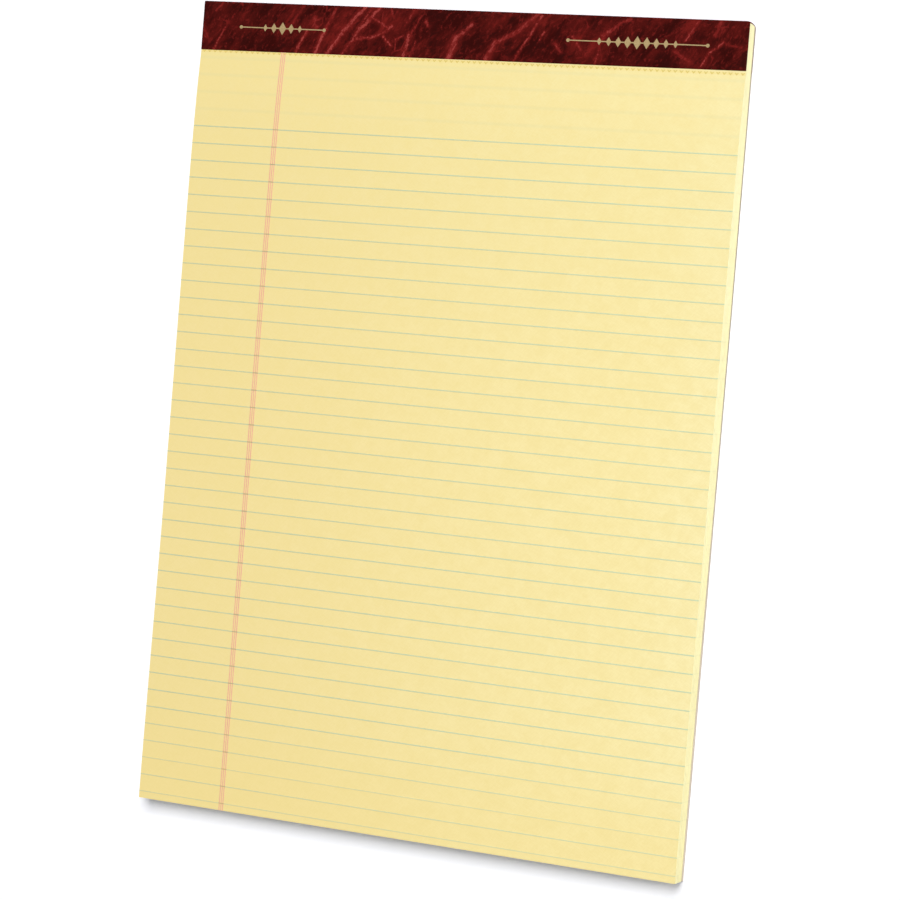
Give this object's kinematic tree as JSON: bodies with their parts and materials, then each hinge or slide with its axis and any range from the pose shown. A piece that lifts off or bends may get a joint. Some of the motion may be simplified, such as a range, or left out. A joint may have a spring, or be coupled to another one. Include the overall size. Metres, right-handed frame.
{
  "type": "legal pad",
  "caption": "Ruled writing pad: yellow lined sheets with a left margin, on a stiff backing board, wire stitched at the head under a folded marbled binding strip.",
  "frame": {"origin": "middle of the underside of the pad, on the surface that it lies on", "axes": "+Z out of the writing face, +Y up the page towards the binding strip, +X across the page to the right"},
  "size_m": [0.216, 0.2984, 0.0081],
  "materials": {
    "sheet_paper": "matt uncoated yellow writing paper",
    "chipboard": "matt grey-brown pressed board",
    "marbled_strip": "dark red marbled leatherette paper with a low sheen",
    "stitch_wire": "bright drawn wire",
    "rule_ink": "pale blue-green printed ink",
    "margin_ink": "salmon printed ink",
    "foil": "dull stamped metal foil"
  },
  "bodies": {
    "root": {"writing_sheets": "sheet_paper", "backing_board": "chipboard", "binding_strip": "marbled_strip", "wire_stitches": "stitch_wire", "printed_rules": "rule_ink", "printed_margin": "margin_ink", "foil_ornament": "foil"}
  },
  "joints": []
}
